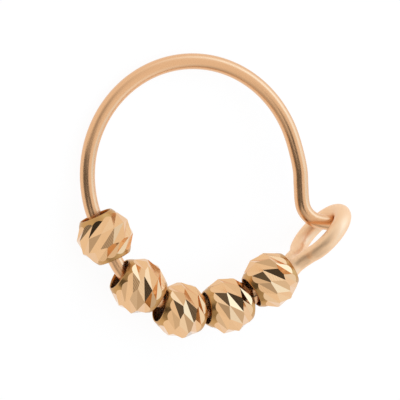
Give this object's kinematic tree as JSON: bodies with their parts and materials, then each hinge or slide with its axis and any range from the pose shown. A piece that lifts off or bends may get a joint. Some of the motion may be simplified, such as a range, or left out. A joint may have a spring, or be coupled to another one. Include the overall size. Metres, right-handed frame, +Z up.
{
  "type": "beaded hoop earring",
  "caption": "Small hoop earring of one bent round wire that carries loose faceted beads, with a hook at one end that catches in a loop at the other.",
  "frame": {"origin": "middle of the earring's outline where it lies on its side, at the height of the surface that it lies on", "axes": "+Z up from the surface, +Y from the beads towards the top of the hoop, +X towards the loop that takes the hook"},
  "size_m": [0.0152, 0.0152, 0.0041],
  "materials": {
    "wire": "polished rose gold fill over brass",
    "bead": "diamond-cut, polished rose gold fill over brass"
  },
  "bodies": {
    "root": {"hoop_wire": "wire", "bead_1": "bead", "bead_2": "bead", "bead_3": "bead", "bead_4": "bead", "bead_5": "bead"}
  },
  "joints": []
}
